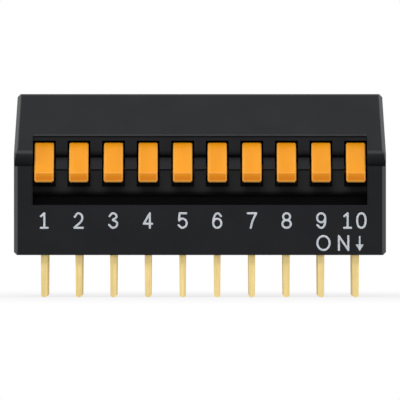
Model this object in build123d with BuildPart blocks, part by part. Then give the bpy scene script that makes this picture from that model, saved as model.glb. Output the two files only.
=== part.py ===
from build123d import *
import os
from math import cos, radians, sin, sqrt

# Ten-way side-lever DIP switch, in millimetres.
# X runs along the row from lever 1 to lever 10, the front faces -Y and +Z is up.
# The origin is the centre of the pin pattern, on the plane of the circuit board.

# Row of levers and the two rows of pins
ways = 10
pitch = 2.54
row_gap = 7.62
end_margin = 2.21
pin_margin = 1.14

# Heights of the mechanism: the lever axis lies on the seam between case and base
seam_height = 6.3
slot_rise = 2.1
slot_drop = 1.28
bar_drop = 2.0
sill_gap = 0.63
head_margin = 0.36

# Case: shell walls and outer form
end_wall = 0.8
shell_wall = 0.8
front_wall = 0.7
brow_rise = 1.18
slope_rise = 4.38
crown_draft = 0.19
draft_blend = 20.0
end_facing_share = 0.5
brow_radius = 0.8
crown_radius = 0.3
edge_bevel = 0.22
step_rise = 0.21
step_depth = 0.4

# Window and the comb of slots behind it
window_corner = 0.14
lip_rise = 0.12
lip_depth = 0.05
slot_width = 1.68
comb_setback = 1.5
comb_wall = 0.7
tab_round = 0.5
notch_rise = 0.9
notch_depth = 0.4

# Base: the bar under the slots, the screen behind it and the snap lugs at the ends
bar_step = 0.2
bar_thickness = 0.7
bar_round = 0.5
groove_height = 0.1
groove_depth = 0.3
shelf_thickness = 0.4
screen_setback = 1.3
screen_thickness = 0.3
screen_rise = 0.12
screen_gap = 0.15
ledge_drop = 0.1
fit_gap = 0.05
lug_length = 2.4
lug_depth = 0.35
lug_height = 0.9
lug_foot = 0.8

# Levers
pivot_setback = 3.65
bearing_wall = 1.4
trunnion_diameter = 1.0
running_gap = 0.05
trunnion_end_gap = 0.07
lever_gap = 0.14
nose_overhang = 0.15
crest_drop = 0.27
lip_drop = 0.96
lip_thickness = 0.8
neck_drop = 0.15
head_gap = 0.13
head_setback = 0.25
head_depth = 1.6
hub_radius = 1.25
lever_corner = 0.15
lever_edge = 0.09
throw_angle = 16.0

# Contact clips at the feet of the levers
clip_reach = 3.75
clip_strip = 0.15
clip_width = 1.0
clip_grip = 1.05
clip_bevel = 0.12
leg_thickness = 0.9
wipe_gap = 0.03

# Terminals
pin_width = 0.5
pin_tip_width = 0.45
pin_thickness = 0.25
pin_length = 3.1
pin_tip_bevel = 0.12
pad_width = 1.0
pad_bend = 0.22
pad_lap = 0.3
pad_break = 0.3
shoulder_drop = 0.75
moulded_gap = 0.02

# Cuts run past the faces that they open
overrun = 1.0
touch = 0.01

# Places worked out from the sizes above
case_length = (ways - 1) * pitch + 2 * end_margin
case_depth = row_gap + 2 * pin_margin
front_y = -case_depth / 2
rear_y = case_depth / 2
brow_height = seam_height + brow_rise
case_height = brow_height + slope_rise
slope_top_y = front_y + slope_rise
step_height = seam_height + step_rise
inner_half = case_length / 2 - end_wall
inner_front = front_y + front_wall
inner_rear = rear_y - shell_wall
ceiling = case_height - shell_wall

slot_head = seam_height + slot_rise
slot_foot = seam_height - slot_drop
bar_foot = seam_height - bar_drop
sill_height = bar_foot - sill_gap
ledge_height = sill_height - ledge_drop
window_head = slot_head + head_margin
window_half = (ways - 1) * pitch / 2 + slot_width / 2

comb_front = front_y + comb_setback
comb_back = comb_front + comb_wall
bar_front = comb_front - bar_step
bar_back = bar_front + bar_thickness
shelf_top = bar_foot + shelf_thickness
screen_front = bar_back + screen_setback
screen_back = screen_front + screen_thickness
pivot_y = comb_front + pivot_setback
rib_back = pivot_y + bearing_wall
bearing_length = ways * pitch
bearing_radius = trunnion_diameter / 2 + running_gap

lever_width = slot_width - 2 * lever_gap
trunnion_length = pitch - 2 * trunnion_end_gap
nose_y = front_y - nose_overhang
lip_back = nose_y + lip_thickness
lip_foot = seam_height - lip_drop
screen_head = lip_foot + screen_rise
rest_angle = -throw_angle / 2

pad_top = seam_height - clip_reach - wipe_gap
screen_foot = pad_top + screen_gap
floor_height = pad_top - pin_thickness
shoulder_height = floor_height - shoulder_drop
front_pad_end = pivot_y + pad_lap
rear_pad_end = front_pad_end + pad_break

lever_places = [(index - (ways - 1) / 2) * pitch for index in range(ways)]
lever_planes = [Plane.YZ.offset(place) for place in lever_places]


def nearest(sketch, point):
    """The corner of a profile that lies closest to a point in the profile's own plane."""
    return sketch.vertices().sort_by_distance(point)[0]


# Case: outer form, then the chambers that are cored out of it
with BuildPart() as case:
    with BuildSketch(Plane.YZ) as outer_section:
        with BuildLine():
            Polyline(
                (front_y, 0),
                (front_y, brow_height),
                (slope_top_y, case_height),
                (rear_y, case_height),
                (rear_y, 0),
                close=True,
            )
        make_face()
        fillet(nearest(outer_section, (front_y, brow_height)), brow_radius)
        fillet(nearest(outer_section, (slope_top_y, case_height)), crown_radius)
        fillet(nearest(outer_section, (rear_y, case_height)), crown_radius)
    extrude(amount=case_length / 2, both=True)

    # Ends upright beside the face and drawn in a little up the slope
    half_length = case_length / 2
    with BuildSketch(Plane.XZ) as front_outline:
        with BuildLine():
            Polyline(
                (-half_length, 0),
                (half_length, 0),
                (half_length, brow_height),
                (half_length - crown_draft, case_height),
                (crown_draft - half_length, case_height),
                (-half_length, brow_height),
                close=True,
            )
        make_face()
        for side in (-1, 1):
            fillet(nearest(front_outline, (side * half_length, brow_height)), draft_blend)
    extrude(amount=case_depth, both=True, mode=Mode.INTERSECT)
    end_faces = case.faces().filter_by(lambda face: abs(face.normal_at().X) > end_facing_share)
    end_seams = end_faces.edges().filter_by(Axis.Y).filter_by_position(Axis.Z, seam_height, window_head)
    chamfer(end_faces.edges() - end_seams, edge_bevel)

    # Window: everything in front of the comb, whose dividers are a tab that rounds under
    # into a notch, and a ramp that comes forward again to the bar of the base
    tab_foot = (comb_front, seam_height + notch_rise + tab_round)
    notch_root = (comb_front + notch_depth, seam_height + notch_rise)
    with BuildSketch(Plane.YZ):
        with BuildLine():
            Polyline(
                notch_root,
                (bar_front, seam_height),
                (bar_front, sill_height),
                (front_y - overrun, sill_height),
                (front_y - overrun, window_head),
                (comb_front, window_head),
                tab_foot,
            )
            TangentArc(tab_foot, notch_root, tangent=(0, -1))
        make_face()
    extrude(amount=window_half, both=True, mode=Mode.SUBTRACT)
    head_edges = case.edges().filter_by_position(Axis.Z, window_head - touch, window_head + touch)
    fillet(head_edges.filter_by(Axis.Y), window_corner)
    lip_edges = case.edges().filter_by_position(Axis.Z, window_head - touch, window_head + touch)
    lip_edge = lip_edges.filter_by(Axis.X).sort_by(Axis.Y)[0]
    slope = case.faces().filter_by(Plane.XY.rotated((45, 0, 0))).sort_by(Axis.Y)[0]
    chamfer(lip_edge, lip_rise, lip_depth, reference=slope)

    # Brow of the posts: rounded under, and run back to a step above the flat face
    with BuildSketch(Plane.YZ) as brow_cut:
        with BuildLine():
            Polyline(
                (front_y + step_depth, step_height),
                (front_y, brow_height),
                (front_y + brow_rise, brow_height + brow_rise),
                (front_y - overrun, brow_height + brow_rise),
                (front_y - overrun, step_height),
                close=True,
            )
        make_face()
        fillet(nearest(brow_cut, (front_y, brow_height)), brow_radius)
    extrude(amount=case_length / 2 + overrun, both=True, mode=Mode.SUBTRACT)

    # Lower chamber, open below, that takes the base
    with BuildSketch(Plane.YZ):
        with BuildLine():
            Polyline(
                (inner_front, -overrun),
                (inner_front, seam_height),
                (inner_rear, seam_height),
                (inner_rear, -overrun),
                close=True,
            )
        make_face()
    extrude(amount=inner_half, both=True, mode=Mode.SUBTRACT)

    # Rear chamber behind the ribs
    with BuildSketch(Plane.YZ):
        with BuildLine():
            Polyline(
                (rib_back, seam_height),
                (rib_back, ceiling),
                (inner_rear, ceiling),
                (inner_rear, seam_height),
                close=True,
            )
        make_face()
    extrude(amount=inner_half, both=True, mode=Mode.SUBTRACT)

    # Lever channels between the ribs, following the slope inside
    slope_inset = shell_wall * sqrt(2)
    channel_bend = brow_height + comb_back - front_y - slope_inset
    with BuildSketch(*lever_planes):
        with BuildLine():
            Polyline(
                (comb_back, seam_height),
                (comb_back, channel_bend),
                (front_y + ceiling - brow_height + slope_inset, ceiling),
                (rib_back, ceiling),
                (rib_back, seam_height),
                close=True,
            )
        make_face()
    extrude(amount=slot_width / 2, both=True, mode=Mode.SUBTRACT)

    # Upper half of the slots in the comb
    with BuildSketch(*lever_planes):
        with BuildLine():
            Polyline(
                (bar_front, seam_height),
                (bar_front, slot_head),
                (comb_back + overrun, slot_head),
                (comb_back + overrun, seam_height),
                close=True,
            )
        make_face()
    extrude(amount=slot_width / 2, both=True, mode=Mode.SUBTRACT)

    # Upper half of the lever bearings in the ribs
    with BuildSketch(Plane.YZ):
        with Locations((pivot_y, seam_height)):
            Circle(bearing_radius)
    extrude(amount=bearing_length / 2, both=True, mode=Mode.SUBTRACT)

    # Pockets in the end walls for the snap lugs of the base
    with BuildSketch(Plane.XZ.offset(-lug_length / 2 - fit_gap)):
        for side in (-1, 1):
            with BuildLine():
                Polyline(
                    (side * inner_half, lug_foot - fit_gap),
                    (side * (inner_half + lug_depth), lug_foot + lug_height),
                    (side * inner_half, lug_foot + lug_height),
                    close=True,
                )
            make_face()
    extrude(amount=lug_length + 2 * fit_gap, mode=Mode.SUBTRACT)

case.part.label = "case"

# Base: floor, comb bar and ribs
base_half = inner_half - fit_gap
base_front = inner_front + fit_gap
base_rear = inner_rear - fit_gap
with BuildPart() as base:
    with BuildSketch(Plane.YZ):
        with BuildLine():
            Polyline(
                (base_front, 0),
                (base_front, floor_height),
                (base_rear, floor_height),
                (base_rear, 0),
                close=True,
            )
        make_face()
    extrude(amount=base_half, both=True)

    # Ribs, and the bar across their fronts with a groove above and its lower edge rounded
    # under, both standing out over the screen and over a ledge that runs to the sill
    with BuildSketch(Plane.YZ) as comb_section:
        with BuildLine():
            Polyline(
                (bar_front + groove_depth, seam_height),
                (bar_front + groove_depth, seam_height - groove_height),
                (bar_front, seam_height - groove_height),
                (bar_front, bar_foot),
                (screen_front, bar_foot),
                (screen_front, ledge_height),
                (base_front, ledge_height),
                (base_front, floor_height),
                (rib_back, floor_height),
                (rib_back, seam_height),
                close=True,
            )
        make_face()
        fillet(nearest(comb_section, (bar_front, bar_foot)), bar_round)
    extrude(amount=base_half, both=True)

    # Lever channels behind the bar: they leave a shelf and the screen standing between
    # the ribs, with a way under the screen for the pads on the floor
    with BuildSketch(*lever_planes):
        with BuildLine():
            Polyline(
                (screen_front, floor_height),
                (screen_front, screen_foot),
                (screen_back, screen_foot),
                (screen_back, screen_head),
                (screen_front, screen_head),
                (screen_front, shelf_top),
                (bar_back, shelf_top),
                (bar_back, seam_height + overrun),
                (rib_back + overrun, seam_height + overrun),
                (rib_back + overrun, floor_height),
                close=True,
            )
        make_face()
    extrude(amount=slot_width / 2, both=True, mode=Mode.SUBTRACT)

    # Lower half of the slots in the bar
    with BuildSketch(*lever_planes):
        with BuildLine():
            Polyline(
                (bar_front - overrun, slot_foot),
                (bar_front - overrun, seam_height + overrun),
                (bar_back, seam_height + overrun),
                (bar_back, slot_foot),
                close=True,
            )
        make_face()
    extrude(amount=slot_width / 2, both=True, mode=Mode.SUBTRACT)

    # Lower half of the lever bearings
    with BuildSketch(Plane.YZ):
        with Locations((pivot_y, seam_height)):
            Circle(bearing_radius)
    extrude(amount=bearing_length / 2, both=True, mode=Mode.SUBTRACT)

    # Slots and shoulder pockets that hold the terminals
    with BuildSketch(Plane.XY):
        with GridLocations(pitch, row_gap, ways, 2):
            Rectangle(pin_width + 2 * moulded_gap, pin_thickness + 2 * moulded_gap)
    extrude(amount=floor_height, mode=Mode.SUBTRACT)
    with BuildSketch(Plane.XY.offset(shoulder_height)):
        with GridLocations(pitch, row_gap, ways, 2):
            Rectangle(pad_width + 2 * moulded_gap, pin_thickness + 2 * moulded_gap)
    extrude(amount=shoulder_drop, mode=Mode.SUBTRACT)

    # Ways for the front pads under the ledge
    pad_front = -(row_gap + pin_thickness) / 2 - moulded_gap
    with BuildSketch(Plane.XY.offset(floor_height)):
        with Locations(*[(place, pad_front) for place in lever_places]):
            Rectangle(
                pad_width + 2 * moulded_gap,
                screen_front - pad_front,
                align=(Align.CENTER, Align.MIN),
            )
    extrude(amount=pin_thickness + moulded_gap, mode=Mode.SUBTRACT)

    # Snap lugs, sloped below so that the base presses in from underneath
    with BuildSketch(Plane.XZ.offset(-lug_length / 2)):
        for side in (-1, 1):
            with BuildLine():
                Polyline(
                    (side * base_half, lug_foot),
                    (side * (base_half + lug_depth), lug_foot + lug_height - fit_gap),
                    (side * base_half, lug_foot + lug_height - fit_gap),
                    close=True,
                )
            make_face()
    extrude(amount=lug_length)

base.part.label = "base"


def leg_plane(place):
    """Plane across a lever through its axis, turned so that -Y of the sketch runs down the leg."""
    lean = radians(rest_angle)
    return Plane(
        origin=(place, pivot_y, seam_height),
        x_dir=(0, cos(lean), sin(lean)),
        z_dir=(1, 0, 0),
    )


def make_lever(place):
    """A rocking lever: sloped nose with a finger lip, neck, hub with trunnions, and leg."""
    nose_foot = (nose_y, lip_foot)
    nose_crest = (nose_y, seam_height - crest_drop)
    head_front = (comb_front + head_setback, slot_head - head_gap)
    head_back = (comb_front + head_setback + head_depth, slot_head - head_gap)
    lip_heel = (lip_back, lip_foot)
    lip_root = (lip_back, seam_height - neck_drop)
    with BuildPart() as lever:
        with BuildSketch(Plane.YZ.offset(place)) as profile:
            with BuildLine():
                Polyline(
                    nose_foot,
                    nose_crest,
                    head_front,
                    head_back,
                    (pivot_y, seam_height + hub_radius),
                    (pivot_y, seam_height - neck_drop),
                    lip_root,
                    lip_heel,
                    close=True,
                )
            make_face()
            for corner in (nose_crest, head_front):
                fillet(nearest(profile, corner), lever_corner)
            for corner in (nose_foot, lip_heel):
                chamfer(nearest(profile, corner), lever_edge)
        extrude(amount=lever_width / 2, both=True)
        side_faces = lever.faces().filter_by(Axis.X)
        nose_edges = side_faces.edges().filter_by_position(Axis.Y, nose_y - overrun, lip_back)
        chamfer(nose_edges, lever_edge)
        with BuildSketch(Plane.YZ.offset(place)):
            with Locations((pivot_y, seam_height)):
                Circle(hub_radius)
        extrude(amount=lever_width / 2, both=True)
        with BuildSketch(Plane.YZ.offset(place)):
            with Locations((pivot_y, seam_height)):
                Circle(trunnion_diameter / 2)
        extrude(amount=trunnion_length / 2, both=True)
        with BuildSketch(leg_plane(place)):
            with Locations((0, -clip_reach / 2)):
                Rectangle(leg_thickness, clip_reach)
            Circle(clip_reach - clip_strip, mode=Mode.INTERSECT)
        extrude(amount=lever_width / 2, both=True)
    return lever


def make_contact(place):
    """A strip folded round the foot of a lever, with a sole that follows the lever's swing."""
    outer_width = leg_thickness + 2 * clip_strip
    grip_head = clip_reach - clip_strip - clip_grip
    with BuildPart() as contact:
        with BuildSketch(leg_plane(place)) as strip:
            with Locations((0, -grip_head)):
                Rectangle(outer_width, clip_reach, align=(Align.CENTER, Align.MAX))
            Circle(clip_reach, mode=Mode.INTERSECT)
            chamfer(strip.vertices().group_by(Axis.Y)[0], clip_bevel)
        extrude(amount=clip_width / 2, both=True)
        with BuildSketch(leg_plane(place)):
            with Locations((0, -clip_reach / 2)):
                Rectangle(leg_thickness, clip_reach)
            Circle(clip_reach - clip_strip, mode=Mode.INTERSECT)
        extrude(amount=lever_width / 2, both=True, mode=Mode.SUBTRACT)
    return contact


def make_terminal(place, side, pad_end):
    """A flat pin that bends over the floor into the pad that the contact wipes on."""
    pin_y = side * row_gap / 2
    outer_face = pin_y + side * pin_thickness / 2
    inner_face = pin_y - side * pin_thickness / 2
    with BuildPart() as terminal:
        with BuildSketch(Plane.YZ.offset(place)) as bend:
            with BuildLine():
                Polyline(
                    (outer_face, shoulder_height),
                    (outer_face, pad_top),
                    (pad_end, pad_top),
                    (pad_end, floor_height),
                    (inner_face, floor_height),
                    (inner_face, shoulder_height),
                    close=True,
                )
            make_face()
            fillet(nearest(bend, (outer_face, pad_top)), pad_bend)
        extrude(amount=pad_width / 2, both=True)
        with BuildSketch(Plane.XZ.offset(-pin_y)) as pin:
            with BuildLine():
                Polyline(
                    (place - pin_width / 2, shoulder_height),
                    (place - pin_width / 2, 0),
                    (place - pin_tip_width / 2, -pin_length),
                    (place + pin_tip_width / 2, -pin_length),
                    (place + pin_width / 2, 0),
                    (place + pin_width / 2, shoulder_height),
                    close=True,
                )
            make_face()
            chamfer(pin.vertices().group_by(Axis.Y)[0], pin_tip_bevel)
        extrude(amount=pin_thickness / 2, both=True)
    return terminal


os.makedirs("parts", exist_ok=True)
export_step(case.part, "parts/case.step")
export_step(base.part, "parts/base.step")
for number, place in enumerate(lever_places, start=1):
    pieces = {
        f"lever_{number:02d}": make_lever(place),
        f"contact_{number:02d}": make_contact(place),
        f"front_terminal_{number:02d}": make_terminal(place, -1, front_pad_end),
        f"rear_terminal_{number:02d}": make_terminal(place, 1, rear_pad_end),
    }
    for name, piece in pieces.items():
        piece.part.label = name
        export_step(piece.part, f"parts/{name}.step")
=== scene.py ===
import math

import bpy
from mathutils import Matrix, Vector


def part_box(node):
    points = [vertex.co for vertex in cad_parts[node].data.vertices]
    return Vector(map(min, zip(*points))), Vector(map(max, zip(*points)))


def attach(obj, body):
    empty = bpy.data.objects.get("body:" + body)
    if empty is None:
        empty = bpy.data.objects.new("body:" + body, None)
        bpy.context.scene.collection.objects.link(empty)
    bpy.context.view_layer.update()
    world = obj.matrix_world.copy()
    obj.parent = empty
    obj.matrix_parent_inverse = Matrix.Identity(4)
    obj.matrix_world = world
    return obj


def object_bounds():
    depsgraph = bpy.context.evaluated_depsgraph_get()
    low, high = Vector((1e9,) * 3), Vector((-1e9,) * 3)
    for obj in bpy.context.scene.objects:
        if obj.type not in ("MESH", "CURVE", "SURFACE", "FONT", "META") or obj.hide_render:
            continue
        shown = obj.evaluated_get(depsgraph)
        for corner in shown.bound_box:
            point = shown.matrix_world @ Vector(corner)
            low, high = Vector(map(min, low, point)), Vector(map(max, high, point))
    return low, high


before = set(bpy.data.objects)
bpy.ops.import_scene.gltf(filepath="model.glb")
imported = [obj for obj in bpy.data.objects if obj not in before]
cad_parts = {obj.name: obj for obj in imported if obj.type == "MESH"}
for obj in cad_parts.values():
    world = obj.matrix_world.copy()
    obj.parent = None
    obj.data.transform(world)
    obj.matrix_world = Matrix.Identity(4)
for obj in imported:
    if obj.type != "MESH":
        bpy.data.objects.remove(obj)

# Ten-way side-lever DIP switch: black moulded housing, orange levers, gold-plated pins.
# Lengths are in metres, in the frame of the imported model, unless a comment says otherwise.

MM = 0.001
cad_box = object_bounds()
case_low, case_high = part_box("case")
lever_numbers = [f"{number:02d}" for number in range(1, 11)]

# Photograph, in pixels: its width, the scale of the front face, and where the middle of the
# body, the foot of the body and the height of the camera lie in it
PHOTO_WIDTH_PX = 400
PX_PER_MM = 13.645
BODY_CENTRE_PX = 199.95
BODY_FOOT_PX = 255.1
EYE_LEVEL_PX = 200.0

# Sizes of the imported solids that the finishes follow
BROW_HEIGHT = 7.48 * MM
EDGE_BEVEL = 0.22 * MM
CROWN_DRAFT = 0.19 * MM
PITCH = 2.54 * MM
LEVER_WIDTH = 1.4 * MM
NOSE_FRONT = cad_box[0][1]
NOSE_FOOT = 5.34 * MM
NOSE_CREST = 6.03 * MM
HEAD_FRONT = -3.2 * MM
HEAD_TOP = 8.27 * MM


def photo_x(pixel):
    """Place along the row of a photo column on the front face."""
    return (pixel - BODY_CENTRE_PX) / PX_PER_MM * MM


def photo_z(pixel):
    """Height of a photo line on the front face."""
    return (BODY_FOOT_PX - pixel) / PX_PER_MM * MM


# Steps of a node tree: each takes and gives node outputs

def math_step(tree, operation, first, second):
    """One arithmetic step on two values, each a node output or a number."""
    node = tree.nodes.new("ShaderNodeMath")
    node.operation = operation
    for socket, value in zip(node.inputs, (first, second)):
        if isinstance(value, float):
            socket.default_value = value
        else:
            tree.links.new(value, socket)
    return node.outputs["Value"]


def map_range(tree, value, start, end, first, last):
    """Goes from first to last while a value goes from start to end."""
    node = tree.nodes.new("ShaderNodeMapRange")
    node.inputs["From Min"].default_value = start
    node.inputs["From Max"].default_value = end
    node.inputs["To Min"].default_value = first
    node.inputs["To Max"].default_value = last
    tree.links.new(value, node.inputs["Value"])
    return node.outputs["Result"]


def fade_out(tree, value, start, end, most=1.0):
    """Falls from most to 0 while a value goes from start to end."""
    return map_range(tree, value, start, end, most, 0.0)


def split_axes(tree, place):
    """The X, Y and Z of a place, each as a value."""
    axes = tree.nodes.new("ShaderNodeSeparateXYZ")
    tree.links.new(place, axes.inputs["Vector"])
    return axes.outputs["X"], axes.outputs["Y"], axes.outputs["Z"]


def noise(tree, place, scale, detail=3.0, roughness=0.5, stretch=(1.0, 1.0, 1.0)):
    """Noise over a place; stretch below 1 draws the pattern out along that axis."""
    mapping = tree.nodes.new("ShaderNodeMapping")
    mapping.inputs["Scale"].default_value = stretch
    tree.links.new(place, mapping.inputs["Vector"])
    texture = tree.nodes.new("ShaderNodeTexNoise")
    texture.inputs["Scale"].default_value = scale
    texture.inputs["Detail"].default_value = detail
    texture.inputs["Roughness"].default_value = roughness
    tree.links.new(mapping.outputs["Vector"], texture.inputs["Vector"])
    return texture.outputs["Fac"]


def ramp(tree, value, low, high, dark, light):
    """Colours from dark to light while a value goes from low to high."""
    node = tree.nodes.new("ShaderNodeValToRGB")
    first, last = node.color_ramp.elements
    first.position = low
    first.color = (*dark, 1.0)
    last.position = high
    last.color = (*light, 1.0)
    tree.links.new(value, node.inputs["Fac"])
    return node.outputs["Color"]


def tint(tree, colour, other, share):
    """Mixes a second colour into a colour output."""
    mix = tree.nodes.new("ShaderNodeMixRGB")
    mix.inputs["Color2"].default_value = (*other, 1.0)
    tree.links.new(share, mix.inputs["Fac"])
    tree.links.new(colour, mix.inputs["Color1"])
    return mix.outputs["Color"]


def bump(tree, value, distance, strength, below=None):
    """Relief from a value, on top of the relief below it if there is one."""
    node = tree.nodes.new("ShaderNodeBump")
    node.inputs["Distance"].default_value = distance
    node.inputs["Strength"].default_value = strength
    tree.links.new(value, node.inputs["Height"])
    if below:
        tree.links.new(below, node.inputs["Normal"])
    return node.outputs["Normal"]


def mix_shaders(tree, share, first, second):
    """The first shader where share is 0 and the second where it is 1."""
    mix = tree.nodes.new("ShaderNodeMixShader")
    tree.links.new(share, mix.inputs["Fac"])
    tree.links.new(first, mix.inputs[1])
    tree.links.new(second, mix.inputs[2])
    return mix.outputs["Shader"]


# Materials

# Most of a noise value lies between these two
NOISE_LOW = 0.3
NOISE_HIGH = 0.7


def spread(tree, value, low, high):
    """Maps a noise value to a range of roughness."""
    return map_range(tree, value, NOISE_LOW, NOISE_HIGH, low, high)


def start_material(name):
    """A new material with its node tree, its shader and the object coordinates."""
    material = bpy.data.materials.new(name)
    material.use_nodes = True
    tree = material.node_tree
    shader = tree.nodes["Principled BSDF"]
    place = tree.nodes.new("ShaderNodeTexCoord").outputs["Object"]
    return material, tree, shader, place


def connect(tree, shader, outputs):
    """Links node outputs to the shader inputs that they are named after."""
    for name, output in outputs.items():
        tree.links.new(output, shader.inputs[name])


# Painted highlight on the edge bevels of the case, where light catches them: full up to the first
# depth and gone at the second
EDGE_HIGHLIGHT_BLACK = (0.055, 0.055, 0.056)
END_HIGHLIGHT_FULL = 1.08 * EDGE_BEVEL
END_HIGHLIGHT_GONE = 1.4 * EDGE_BEVEL
CROWN_HIGHLIGHT_FULL = 0.06 * MM
CROWN_HIGHLIGHT_GONE = 0.14 * MM
CROWN_HIGHLIGHT_SHARE = 0.4
# Grain values at which the painted highlight is full and at which it would be gone
GRAIN_HIGHLIGHT_FULL = 0.3
GRAIN_HIGHLIGHT_GONE = 1.4


def painted_edge_highlight(tree, place, grain):
    """Mask of a painted highlight, broken up by the grain: 1 on the bevels at the ends of the front
    face and the slope, weaker along the crown.

    The depths below two faces add up to the least along the edge between them. The slope
    stands at 45 degrees."""
    across, depth, height = split_axes(tree, place)
    below_front = math_step(tree, "SUBTRACT", depth, case_low[1])
    above_brow = math_step(tree, "SUBTRACT", height, BROW_HEIGHT)
    behind_slope = math_step(tree, "SUBTRACT", below_front, above_brow)
    below_slope = math_step(tree, "MULTIPLY", behind_slope, math.sqrt(0.5))
    below_skin = math_step(tree, "MINIMUM", below_front, below_slope)
    drafted_height = math_step(tree, "MAXIMUM", above_brow, 0.0)
    draft_share = CROWN_DRAFT / (case_high[2] - BROW_HEIGHT)
    draft = math_step(tree, "MULTIPLY", drafted_height, draft_share)
    off_centre = math_step(tree, "ABSOLUTE", across, 0.0)
    below_widest = math_step(tree, "SUBTRACT", case_high[0], off_centre)
    below_end = math_step(tree, "SUBTRACT", below_widest, draft)
    below_top = math_step(tree, "SUBTRACT", case_high[2], height)
    end_edge = math_step(tree, "ADD", below_skin, below_end)
    crown_edge = math_step(tree, "ADD", below_slope, below_top)
    end_highlight = fade_out(tree, end_edge, END_HIGHLIGHT_FULL, END_HIGHLIGHT_GONE)
    crown_highlight = fade_out(tree, crown_edge, CROWN_HIGHLIGHT_FULL, CROWN_HIGHLIGHT_GONE, CROWN_HIGHLIGHT_SHARE)
    highlight = math_step(tree, "MAXIMUM", end_highlight, crown_highlight)
    patches = fade_out(tree, grain, GRAIN_HIGHLIGHT_FULL, GRAIN_HIGHLIGHT_GONE)
    return math_step(tree, "MULTIPLY", highlight, patches)


def moulded_black(name, dark, light, grain_depth, edge_highlight=False):
    """Matt black moulding: faint cloudy tone, spark-eroded grain, dimples and a soft waviness, and
    where asked a painted highlight on the edge bevels.
    """
    material, tree, shader, place = start_material(name)
    cloud = noise(tree, place, scale=420.0, detail=4.0)
    wave = noise(tree, place, scale=260.0, detail=2.0)
    dimples = noise(tree, place, scale=3600.0, detail=2.0)
    grain = noise(tree, place, scale=16000.0, detail=4.0, roughness=0.6)
    colour = ramp(tree, cloud, NOISE_LOW, NOISE_HIGH, dark, light)
    # Painted highlight: lighter black on the edge bevels, where light catches them
    if edge_highlight:
        colour = tint(tree, colour, EDGE_HIGHLIGHT_BLACK, painted_edge_highlight(tree, place, grain))
    rough = spread(tree, grain, low=0.34, high=0.46)
    relief = bump(tree, wave, distance=0.02 * MM, strength=0.3)
    relief = bump(tree, dimples, distance=0.006 * MM, strength=0.3, below=relief)
    relief = bump(tree, grain, distance=grain_depth, strength=0.5, below=relief)
    connect(tree, shader, {"Base Color": colour, "Roughness": rough, "Normal": relief})
    shader.inputs["Specular IOR Level"].default_value = 0.08
    return material


# Painted highlight along the rounded rims of the levers: full up to the first depth and gone at the
# second
HIGHLIGHT_ORANGE = (0.6, 0.29, 0.05)
SIDE_HIGHLIGHT_FULL = 0.07 * MM
SIDE_HIGHLIGHT_GONE = 0.12 * MM
FOOT_HIGHLIGHT_FULL = 0.09 * MM
FOOT_HIGHLIGHT_GONE = 0.14 * MM
# Painted shade on the finger lip: full up to this height and gone at the crest
LIP_SHADE_ORANGE = (0.42, 0.124, 0.001)
LIP_SHADE_FULL = 5.7 * MM


def painted_lever_highlight(tree, across, depth, height):
    """Painted highlight mask: 1 along the edges of a lever's sloped front and of its finger lip."""
    run = HEAD_FRONT - NOSE_FRONT
    rise = HEAD_TOP - NOSE_CREST
    length = math.hypot(run, rise)
    below_nose = math_step(tree, "SUBTRACT", depth, NOSE_FRONT)
    above_crest = math_step(tree, "SUBTRACT", height, NOSE_CREST)
    inward = math_step(tree, "MULTIPLY", below_nose, rise / length)
    upward = math_step(tree, "MULTIPLY", above_crest, run / length)
    below_slope = math_step(tree, "SUBTRACT", inward, upward)
    below_skin = math_step(tree, "MINIMUM", below_nose, below_slope)
    from_gap = math_step(tree, "PINGPONG", across, PITCH / 2)
    below_side = math_step(tree, "SUBTRACT", from_gap, (PITCH - LEVER_WIDTH) / 2)
    above_foot = math_step(tree, "SUBTRACT", height, NOSE_FOOT)
    side_edge = math_step(tree, "ADD", below_side, below_skin)
    foot_edge = math_step(tree, "ADD", below_nose, above_foot)
    side_highlight = fade_out(tree, side_edge, SIDE_HIGHLIGHT_FULL, SIDE_HIGHLIGHT_GONE)
    foot_highlight = fade_out(tree, foot_edge, FOOT_HIGHLIGHT_FULL, FOOT_HIGHLIGHT_GONE)
    return math_step(tree, "MAXIMUM", side_highlight, foot_highlight)


def moulded_orange(name, dark, light):
    """Satin orange moulding with faint flow marks, painted shade on the lip and a painted highlight on
    the rims.
    """
    material, tree, shader, place = start_material(name)
    across, depth, height = split_axes(tree, place)
    flow = noise(tree, place, scale=900.0, stretch=(1.0, 0.4, 0.25))
    grain = noise(tree, place, scale=14000.0)
    # Painted shade: the lip is darker below its crest
    lip = fade_out(tree, height, LIP_SHADE_FULL, NOSE_CREST)
    colour = ramp(tree, flow, NOISE_LOW, NOISE_HIGH, dark, light)
    colour = tint(tree, colour, LIP_SHADE_ORANGE, lip)
    # Painted highlight on the lever rims
    colour = tint(tree, colour, HIGHLIGHT_ORANGE, painted_lever_highlight(tree, across, depth, height))
    rough = spread(tree, grain, low=0.28, high=0.38)
    relief = bump(tree, grain, distance=0.003 * MM, strength=0.35)
    connect(tree, shader, {"Base Color": colour, "Roughness": rough, "Normal": relief})
    shader.inputs["Specular IOR Level"].default_value = 0.16
    return material


GOLD_DARK = (0.69, 0.525, 0.21)
GOLD_LIGHT = (0.76, 0.59, 0.27)


def gold_plate(name):
    """Pale gold plating over rolled strip, with fine lines along the pin."""
    material, tree, shader, place = start_material(name)
    lines = noise(tree, place, scale=9000.0, roughness=0.6, stretch=(1.0, 1.0, 0.03))
    cloud = noise(tree, place, scale=1100.0)
    colour = ramp(tree, cloud, low=0.25, high=0.75, dark=GOLD_DARK, light=GOLD_LIGHT)
    rough = spread(tree, lines, low=0.24, high=0.38)
    relief = bump(tree, lines, distance=0.004 * MM, strength=0.3)
    connect(tree, shader, {"Base Color": colour, "Roughness": rough, "Normal": relief})
    shader.inputs["Metallic"].default_value = 1.0
    return material


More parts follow.
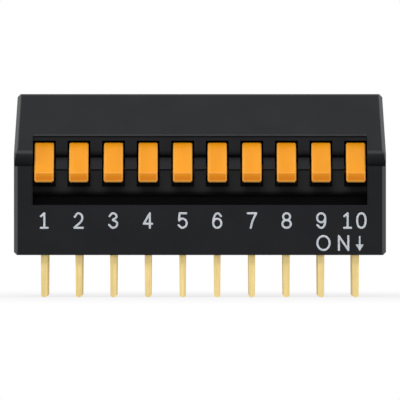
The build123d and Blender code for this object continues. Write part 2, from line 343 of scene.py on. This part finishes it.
def pad_print(name, dark, light):
    """Grey-white printing ink, a little thin in places."""
    material, tree, shader, place = start_material(name)
    cover = noise(tree, place, scale=6500.0)
    colour = ramp(tree, cover, low=0.3, high=0.65, dark=dark, light=light)
    relief = bump(tree, cover, distance=0.004 * MM, strength=0.4)
    connect(tree, shader, {"Base Color": colour, "Normal": relief})
    shader.inputs["Roughness"].default_value = 0.55
    shader.inputs["Specular IOR Level"].default_value = 0.25
    return material


case_black = moulded_black(
    "case_black",
    dark=(0.0054, 0.0057, 0.0068),
    light=(0.0074, 0.0077, 0.009),
    grain_depth=0.004 * MM,
    # painted highlight on the edge bevels
    edge_highlight=True,
)
base_black = moulded_black(
    "base_black",
    dark=(0.0066, 0.0066, 0.007),
    light=(0.0088, 0.0088, 0.0092),
    grain_depth=0.003 * MM,
)
lever_orange = moulded_orange("lever_orange", dark=(0.45, 0.163, 0.001), light=(0.5, 0.186, 0.003))
terminal_gold = gold_plate("terminal_gold")
contact_gold = gold_plate("contact_gold")
ink = pad_print("print_ink", dark=(0.26, 0.28, 0.31), light=(0.38, 0.4, 0.43))


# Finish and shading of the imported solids

# Facets that meet at less than this angle are one smooth face
SHARP_ANGLE = math.radians(22.0)
WELD_DISTANCE = 0.0005 * MM
# Weight of large faces over small ones in the shading, at its most
FLAT_WEIGHT = 100


def smooth_faces():
    """Joins the loose facets of a solid and smooths them, apart from the sharp edges."""
    group = bpy.data.node_groups.new("smooth_faces", "GeometryNodeTree")
    group.interface.new_socket("Geometry", in_out="INPUT", socket_type="NodeSocketGeometry")
    group.interface.new_socket("Geometry", in_out="OUTPUT", socket_type="NodeSocketGeometry")
    start = group.nodes.new("NodeGroupInput")
    weld = group.nodes.new("GeometryNodeMergeByDistance")
    weld.inputs["Distance"].default_value = WELD_DISTANCE
    smooth = group.nodes.new("GeometryNodeSetShadeSmooth")
    angle = group.nodes.new("GeometryNodeInputMeshEdgeAngle")
    sharp = group.nodes.new("FunctionNodeCompare")
    sharp.operation = "GREATER_THAN"
    sharp.inputs["B"].default_value = SHARP_ANGLE
    crease = group.nodes.new("GeometryNodeSetShadeSmooth")
    crease.domain = "EDGE"
    crease.inputs["Shade Smooth"].default_value = False
    end = group.nodes.new("NodeGroupOutput")
    group.links.new(start.outputs["Geometry"], weld.inputs["Geometry"])
    group.links.new(weld.outputs["Geometry"], smooth.inputs["Geometry"])
    group.links.new(smooth.outputs["Geometry"], crease.inputs["Geometry"])
    group.links.new(angle.outputs["Unsigned Angle"], sharp.inputs["A"])
    group.links.new(sharp.outputs["Result"], crease.inputs["Selection"])
    group.links.new(crease.outputs["Geometry"], end.inputs["Geometry"])
    return group


smoothing = smooth_faces()


def soften(node):
    """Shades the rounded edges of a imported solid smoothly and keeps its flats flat."""
    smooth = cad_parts[node].modifiers.new("smooth", "NODES")
    smooth.node_group = smoothing
    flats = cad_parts[node].modifiers.new("flats", "WEIGHTED_NORMAL")
    flats.keep_sharp = True
    flats.weight = FLAT_WEIGHT


def dress(node, material):
    """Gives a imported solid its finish."""
    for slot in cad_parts[node].material_slots:
        slot.material = material


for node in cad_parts:
    soften(node)

dress("case", case_black)
dress("base", base_black)
for number in lever_numbers:
    dress(f"lever_{number}", lever_orange)
    dress(f"contact_{number}", contact_gold)
    dress(f"front_terminal_{number}", terminal_gold)
    dress(f"rear_terminal_{number}", terminal_gold)


# Print on the front face: drawn in millimetres, then laid on the face

# Strokes, and how finely they are drawn and merged
STROKE = 0.155
STROKE_STEPS = 10
ROUND_STEPS = 4
CAP_SEGMENTS = 16
CAP_RINGS = 8
MERGE_VOXEL = 0.018
INK_THICKNESS = 0.03 * MM

# Numbers: the digits of the ten stand to both sides of a place a little left of its lever's middle
NUMBER_WIDTH = 0.62
NUMBER_HEIGHT = 1.065
NUMBER_FOOT_PX = 228.9
NUMBER_FOOT = photo_z(NUMBER_FOOT_PX) / MM + STROKE / 2
TEN_SHIFT = 0.1
TEN_OFFSETS = (("1", -0.53), ("0", 0.5))

# ON mark: letter, photo column and width of each letter, and the arrow beside them
WORD_HEIGHT = 1.02
WORD_FOOT_PX = 251.1
WORD_FOOT = photo_z(WORD_FOOT_PX) / MM + STROKE / 2
WORD_LETTERS = (("O", 323.5, 0.9), ("N", 343.6, 0.69))
ARROW_PX = 359.7
ARROW_TIP_PX = 251.3
ARROW_STEM_WIDTH = 0.115
ARROW_STEM_SIDES = 16
ARROW_HEAD_WIDTH = 0.6
ARROW_HEAD_HEIGHT = 0.5
ARROW_HEAD_SIDES = 32

# Open strokes, in shares of a character's width and height; points are ("s") sharp or ("c") smooth
STROKES = {
    "1": [
        [(0.14, 0.79, "s"), (0.54, 1.0, "s"), (0.54, 0.0, "s")],
        [(0.12, 0.0, "s"), (0.94, 0.0, "s")],
    ],
    "2": [[(0.03, 0.75, "c"), (0.48, 1.0, "c"), (0.93, 0.7, "c"), (0.0, 0.0, "s"), (1.0, 0.0, "s")]],
    "3": [
        [(0.05, 0.8, "c"), (0.47, 1.0, "c"), (0.88, 0.77, "c"), (0.44, 0.545, "s")],
        [(0.44, 0.545, "s"), (0.97, 0.28, "c"), (0.48, 0.0, "c"), (0.0, 0.2, "c")],
    ],
    "4": [[(0.72, 0.0, "s"), (0.72, 1.0, "s"), (0.0, 0.28, "s"), (1.0, 0.28, "s")]],
    "5": [
        [(0.93, 1.0, "s"), (0.14, 1.0, "s"), (0.07, 0.5, "s")],
        [(0.07, 0.5, "c"), (0.5, 0.63, "c"), (0.98, 0.31, "c"), (0.48, 0.0, "c"), (0.02, 0.18, "c")],
    ],
    "6": [[(0.93, 0.8, "c"), (0.55, 1.0, "c"), (0.09, 0.68, "c"), (0.02, 0.31, "c")]],
    "7": [[(0.0, 1.0, "s"), (1.0, 1.0, "s"), (0.56, 0.45, "c"), (0.36, 0.0, "c")]],
    "9": [
        [(0.97, 0.69, "c"), (0.95, 0.36, "c"), (0.76, 0.07, "c"), (0.44, 0.0, "c"), (0.04, 0.19, "c")],
    ],
    "N": [[(0.0, 0.0, "s"), (0.0, 1.0, "s"), (1.0, 0.0, "s"), (1.0, 1.0, "s")]],
}
# Closed loops: centre and half sizes, in the same shares
LOOPS = {
    "6": [(0.5, 0.31, 0.48, 0.31)],
    "8": [(0.5, 0.765, 0.41, 0.235), (0.5, 0.265, 0.5, 0.265)],
    "9": [(0.49, 0.69, 0.48, 0.31)],
    "0": [(0.5, 0.5, 0.5, 0.5)],
    "O": [(0.5, 0.5, 0.5, 0.5)],
}


def select_only(active, *others):
    """Selects these objects alone and makes the first one active."""
    bpy.ops.object.select_all(action="DESELECT")
    for item in (active, *others):
        item.select_set(True)
    bpy.context.view_layer.objects.active = active


def make_cell(centre, width, height, foot):
    """The left side, foot, width and height that a character fills."""
    return centre - width / 2, foot, width, height


def in_cell(cell, point):
    """Place of a point that is given in shares of a cell."""
    left, foot, width, height = cell
    return (left + point[0] * width, 0.0, foot + point[1] * height)


def add_stroke(curve, points, cell, closed=False):
    """Draws one line through points of a cell."""
    spline = curve.splines.new("BEZIER")
    spline.bezier_points.add(len(points) - 1)
    for knot, point in zip(spline.bezier_points, points):
        knot.co = in_cell(cell, point)
        handle = "AUTO" if point[2] == "c" else "VECTOR"
        knot.handle_left_type = handle
        knot.handle_right_type = handle
    spline.resolution_u = STROKE_STEPS
    spline.use_cyclic_u = closed


def add_loop(curve, loop, cell):
    """Draws an oval through its four outermost points."""
    centre_x, centre_z, half_x, half_z = loop
    around = [(1, 0), (0, 1), (-1, 0), (0, -1)]
    points = [(centre_x + half_x * x, centre_z + half_z * z, "c") for x, z in around]
    add_stroke(curve, points, cell, closed=True)


def part_at_corners(points):
    """Parts a stroke at its sharp points, so that each bend can get a round joint."""
    parts = [[points[0]]]
    for point in points[1:]:
        parts[-1].append(point)
        if point[2] == "s":
            parts.append([point])
    return [part for part in parts if len(part) > 1]


def print_characters(name, characters):
    """One printed mark from characters that each have a cell."""
    curve = bpy.data.curves.new(name, "CURVE")
    curve.dimensions = "3D"
    curve.bevel_depth = STROKE / 2
    curve.bevel_resolution = ROUND_STEPS
    curve.use_fill_caps = True
    ends = []
    for character, cell in characters:
        for stroke in STROKES.get(character, []):
            for points in part_at_corners(stroke):
                add_stroke(curve, points, cell)
                ends += [in_cell(cell, points[0]), in_cell(cell, points[-1])]
        for loop in LOOPS.get(character, []):
            add_loop(curve, loop, cell)
    mark = bpy.data.objects.new(name, curve)
    bpy.context.collection.objects.link(mark)
    select_only(mark)
    bpy.ops.object.convert(target="MESH")
    finish_mark(mark, ends)


def print_arrow():
    """Down arrow: a thin cylinder for the stem and a flattened cone for the head."""
    centre = photo_x(ARROW_PX) / MM
    stem_top = WORD_FOOT + WORD_HEIGHT
    head_middle = photo_z(ARROW_TIP_PX) / MM + ARROW_HEAD_HEIGHT / 2
    bpy.ops.mesh.primitive_cylinder_add(
        vertices=ARROW_STEM_SIDES,
        radius=ARROW_STEM_WIDTH / 2,
        depth=stem_top - head_middle,
        location=(centre, 0.0, (stem_top + head_middle) / 2),
    )
    arrow = bpy.context.object
    arrow.name = "on_arrow"
    arrow.data.name = "on_arrow"
    bpy.ops.object.transform_apply(location=True, rotation=True, scale=True)
    bpy.ops.mesh.primitive_cone_add(
        vertices=ARROW_HEAD_SIDES,
        radius1=0.0,
        radius2=ARROW_HEAD_WIDTH / 2,
        depth=ARROW_HEAD_HEIGHT,
        location=(centre, 0.0, head_middle),
    )
    head = bpy.context.object
    head.scale = (1.0, STROKE / ARROW_HEAD_WIDTH, 1.0)
    bpy.ops.object.transform_apply(location=True, rotation=True, scale=True)
    select_only(arrow, head)
    bpy.ops.object.join()
    finish_mark(arrow, [])


def finish_mark(mark, ends):
    """Rounds the stroke ends, merges the strokes and lays the mark flat on the front face."""
    for end in ends:
        bpy.ops.mesh.primitive_uv_sphere_add(
            segments=CAP_SEGMENTS,
            ring_count=CAP_RINGS,
            radius=STROKE / 2,
            location=end,
        )
        select_only(mark, bpy.context.object)
        bpy.ops.object.join()
    select_only(mark)
    merge = mark.modifiers.new("merge", "REMESH")
    merge.mode = "VOXEL"
    merge.voxel_size = MERGE_VOXEL
    bpy.ops.object.modifier_apply(modifier=merge.name)
    mark.scale = (MM, INK_THICKNESS / STROKE, MM)
    mark.location = (0.0, case_low[1], 0.0)
    bpy.ops.object.transform_apply(location=True, rotation=True, scale=True)
    bpy.ops.object.shade_smooth()
    mark.data.materials.clear()
    mark.data.materials.append(ink)
    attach(mark, "housing")


def lever_centre(number):
    """Middle of a lever along the row, in millimetres."""
    low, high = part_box(f"lever_{number}")
    return (low[0] + high[0]) / 2 / MM


def number_cell(centre):
    """Cell of a digit in the row of numbers."""
    return make_cell(centre, NUMBER_WIDTH, NUMBER_HEIGHT, NUMBER_FOOT)


for number in lever_numbers[:-1]:
    digit = str(int(number))
    print_characters(f"number_{digit}", [(digit, number_cell(lever_centre(number)))])
ten_centre = lever_centre("10") - TEN_SHIFT
ten = [(digit, number_cell(ten_centre + offset)) for digit, offset in TEN_OFFSETS]
print_characters("number_10", ten)
word = []
for letter, column, width in WORD_LETTERS:
    word.append((letter, make_cell(photo_x(column) / MM, width, WORD_HEIGHT, WORD_FOOT)))
print_characters("on_word", word)
print_arrow()


# Stage: pale floor, white surround, and soft light from the front, above and both sides

WHITE = (1.0, 1.0, 1.0, 1.0)
AMBIENT_COLOUR = (0.97, 0.98, 1.0, 1.0)
AMBIENT_STRENGTH = 0.38
FLOOR_SIZE = 6.0
FLOOR_COLOUR = (0.4, 0.4, 0.4, 1.0)
# The floor glows less near the object, so that it keeps the shadow there
FLOOR_GLOW = 0.8
SHADOW_NEAR = 18.0 * MM
SHADOW_FAR = 45.0 * MM
# Soft lights: name, place, width and height, and power in watts
SOFTBOXES = (
    ("key", (-0.05, -0.4, 0.31), (0.25, 0.16), 3.0),
    ("top", (0.0, -0.08, 0.45), (0.5, 0.4), 0.8),
    ("left", (-0.4, 0.05, 0.22), (0.5, 0.4), 1.1),
    ("right", (0.4, 0.05, 0.22), (0.5, 0.4), 1.0),
)
LIGHT_AIM = Vector((0.0, 0.0, 6.0 * MM))
CAMERA_DISTANCE = 0.6
CAMERA_SENSOR_MM = 36.0
CAMERA_NEAR = 0.01
CAMERA_FAR = 20.0


def seen_directly(tree):
    """1 for rays that show the surround itself: to the camera, in gloss and through clear things."""
    path = tree.nodes.new("ShaderNodeLightPath")
    shown = math_step(tree, "MAXIMUM", path.outputs["Is Camera Ray"], path.outputs["Is Glossy Ray"])
    return math_step(tree, "MAXIMUM", shown, path.outputs["Is Transmission Ray"])


def white_surround():
    """White to look at, and a weaker even light on the object."""
    world = bpy.data.worlds.new("surround")
    bpy.context.scene.world = world
    world.use_nodes = True
    tree = world.node_tree
    tree.nodes.clear()
    shown = tree.nodes.new("ShaderNodeBackground")
    shown.inputs["Color"].default_value = WHITE
    lighting = tree.nodes.new("ShaderNodeBackground")
    lighting.inputs["Color"].default_value = AMBIENT_COLOUR
    lighting.inputs["Strength"].default_value = AMBIENT_STRENGTH
    share = seen_directly(tree)
    mixed = mix_shaders(tree, share, lighting.outputs["Background"], shown.outputs["Background"])
    output = tree.nodes.new("ShaderNodeOutputWorld")
    tree.links.new(mixed, output.inputs["Surface"])


def pale_floor():
    """Floor under the pin tips that looks white and still takes the object's shadow."""
    bpy.ops.mesh.primitive_plane_add(size=FLOOR_SIZE, location=(0.0, 0.0, cad_box[0][2]))
    floor = bpy.context.object
    floor.name = "floor"
    material = bpy.data.materials.new("floor_white")
    material.use_nodes = True
    tree = material.node_tree
    tree.nodes.clear()
    matt = tree.nodes.new("ShaderNodeBsdfDiffuse")
    matt.inputs["Color"].default_value = FLOOR_COLOUR
    glow = tree.nodes.new("ShaderNodeEmission")
    place = tree.nodes.new("ShaderNodeTexCoord")
    distance = tree.nodes.new("ShaderNodeVectorMath")
    distance.operation = "LENGTH"
    tree.links.new(place.outputs["Object"], distance.inputs[0])
    away = distance.outputs["Value"]
    glow_share = map_range(tree, away, SHADOW_NEAR, SHADOW_FAR, FLOOR_GLOW, 1.0)
    share = math_step(tree, "MULTIPLY", seen_directly(tree), glow_share)
    mixed = mix_shaders(tree, share, matt.outputs["BSDF"], glow.outputs["Emission"])
    output = tree.nodes.new("ShaderNodeOutputMaterial")
    tree.links.new(mixed, output.inputs["Surface"])
    floor.data.materials.append(material)


def softbox(name, place, size, power):
    """A rectangular soft light that points at the object."""
    lamp = bpy.data.lights.new(name, "AREA")
    lamp.shape = "RECTANGLE"
    lamp.size = size[0]
    lamp.size_y = size[1]
    lamp.energy = power
    light = bpy.data.objects.new(name, lamp)
    bpy.context.collection.objects.link(light)
    light.location = place
    aim = LIGHT_AIM - Vector(place)
    light.rotation_euler = aim.to_track_quat("-Z", "Y").to_euler()


def photo_camera():
    """Camera straight in front, with the photo's frame at the front face."""
    lens = bpy.data.cameras.new("camera")
    camera = bpy.data.objects.new("camera", lens)
    bpy.context.collection.objects.link(camera)
    frame_width = PHOTO_WIDTH_PX / PX_PER_MM * MM
    lens.sensor_width = CAMERA_SENSOR_MM
    lens.lens = CAMERA_SENSOR_MM * CAMERA_DISTANCE / frame_width
    lens.clip_start = CAMERA_NEAR
    lens.clip_end = CAMERA_FAR
    camera.location = (
        photo_x(PHOTO_WIDTH_PX / 2),
        case_low[1] - CAMERA_DISTANCE,
        photo_z(EYE_LEVEL_PX),
    )
    camera.rotation_euler = (math.pi / 2, 0.0, 0.0)
    bpy.context.scene.camera = camera


white_surround()
pale_floor()
for name, place, size, power in SOFTBOXES:
    softbox(name, place, size, power)
photo_camera()
bpy.context.scene.view_settings.view_transform = "Standard"
